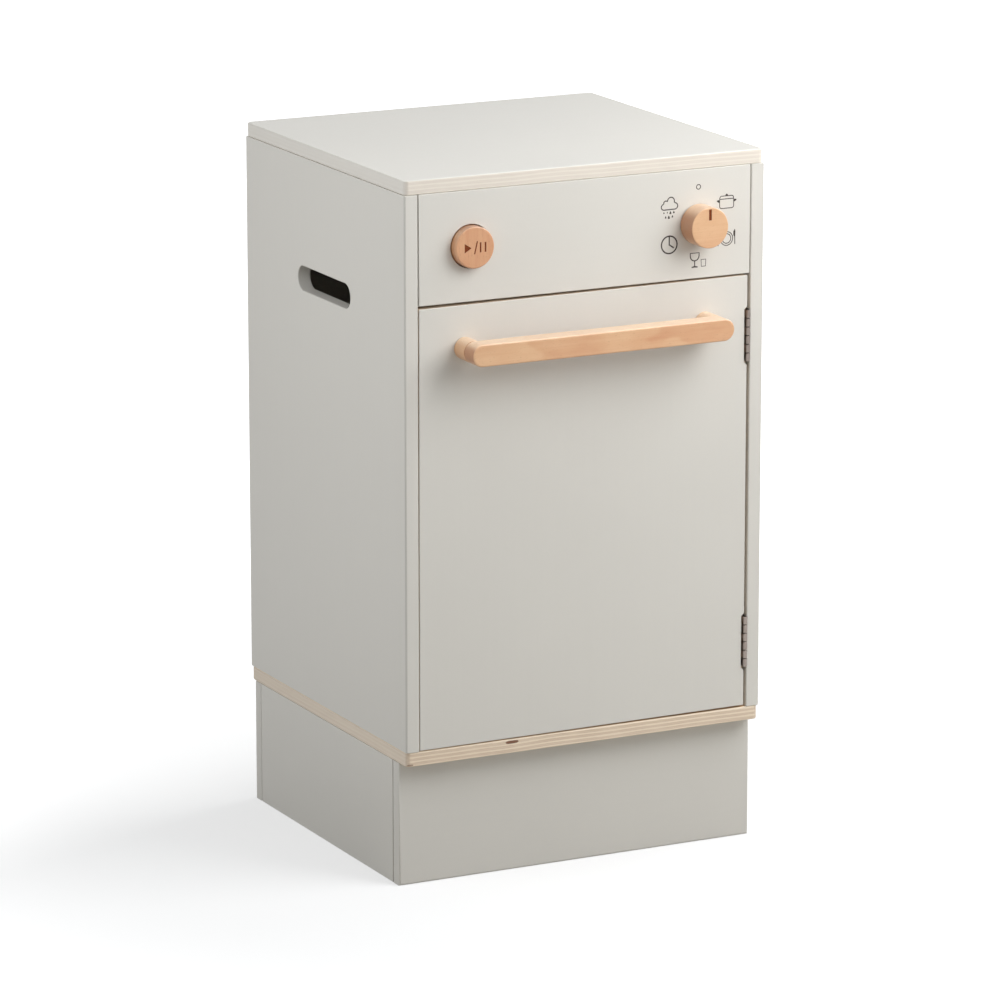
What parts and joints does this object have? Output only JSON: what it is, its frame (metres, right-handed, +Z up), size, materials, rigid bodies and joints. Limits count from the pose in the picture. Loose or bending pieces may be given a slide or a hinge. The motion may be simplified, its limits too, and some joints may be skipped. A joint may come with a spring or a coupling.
{
  "type": "toy dishwasher",
  "caption": "Play dishwasher for a child's kitchen: a painted plywood cabinet on a recessed plinth, with a side-hung door, a bar handle, a spring button and a turning knob.",
  "frame": {"origin": "on the floor, at the middle of the whole object's footprint, handle included", "axes": "+Z up, the door and controls face -Y, +X to the right of someone who faces the door"},
  "size_m": [0.3, 0.312, 0.54],
  "materials": {
    "painted_plywood": "satin warm light grey paint",
    "lacquered_plywood": "clear lacquered birch plywood",
    "beech": "clear lacquered solid beech",
    "hinge_steel": "dull plated steel",
    "spring_steel": "bright spring wire",
    "catch_plastic": "moulded, satin",
    "magnet": "sintered ferrite"
  },
  "bodies": {
    "cabinet": {"top_panel": "painted_plywood", "bottom_panel": "painted_plywood", "left_side_panel": "painted_plywood", "right_side_panel": "painted_plywood", "back_panel": "painted_plywood", "control_panel": "painted_plywood", "control_bay_floor": "painted_plywood", "plinth_front_board": "painted_plywood", "plinth_back_board": "painted_plywood", "plinth_left_board": "painted_plywood", "plinth_right_board": "painted_plywood", "plinth_block_front_left": "lacquered_plywood", "plinth_block_back_left": "lacquered_plywood", "plinth_block_front_right": "lacquered_plywood", "plinth_block_back_right": "lacquered_plywood", "cup_shelf": "lacquered_plywood", "shelf_batten_left": "beech", "shelf_batten_right": "beech", "plate_rack_board": "lacquered_plywood", "rack_peg_1": "beech", "rack_peg_2": "beech", "rack_peg_3": "beech", "rack_peg_4": "beech", "rack_peg_5": "beech", "rack_peg_6": "beech", "rack_peg_7": "beech", "rack_peg_8": "beech", "upper_hinge_cabinet_leaf": "hinge_steel", "upper_hinge_pin": "hinge_steel", "upper_hinge_cabinet_screw_1": "hinge_steel", "upper_hinge_cabinet_screw_2": "hinge_steel", "lower_hinge_cabinet_leaf": "hinge_steel", "lower_hinge_pin": "hinge_steel", "lower_hinge_cabinet_screw_1": "hinge_steel", "lower_hinge_cabinet_screw_2": "hinge_steel", "catch_body": "catch_plastic", "catch_magnet": "magnet", "catch_screw_1": "hinge_steel", "catch_screw_2": "hinge_steel", "button_guide": "lacquered_plywood"},
    "door": {"door_panel": "painted_plywood", "handle_bar": "beech", "handle_post_left": "beech", "handle_screw_left": "hinge_steel", "handle_post_right": "beech", "handle_screw_right": "hinge_steel", "upper_hinge_door_leaf": "hinge_steel", "upper_hinge_door_screw_1": "hinge_steel", "upper_hinge_door_screw_2": "hinge_steel", "lower_hinge_door_leaf": "hinge_steel", "lower_hinge_door_screw_1": "hinge_steel", "lower_hinge_door_screw_2": "hinge_steel", "strike_plate": "hinge_steel", "strike_screw": "hinge_steel"},
    "button": {"start_button": "beech", "button_stem": "beech", "button_retaining_screw": "hinge_steel", "button_spring": "spring_steel"},
    "knob": {"program_knob": "beech", "knob_screw": "hinge_steel"}
  },
  "joints": [
    {"name": "door_hinge", "type": "hinge", "parent": "cabinet", "child": "door", "pos_m": [0.1372, -0.1243, 0.2761], "axis": [0, 0, 1], "range_deg": [0, 170]},
    {"name": "button_press", "type": "slide", "parent": "cabinet", "child": "button", "axis": [0, 1, 0], "range_m": [0, 0.004], "stiffness_N_per_m": 400, "springref_m": -0.004, "deforming": ["button_spring"]},
    {"name": "knob_turn", "type": "hinge", "parent": "cabinet", "child": "knob", "pos_m": [0.0938, -0.124, 0.4874], "axis": [0, 1, 0], "continuous": true}
  ]
}
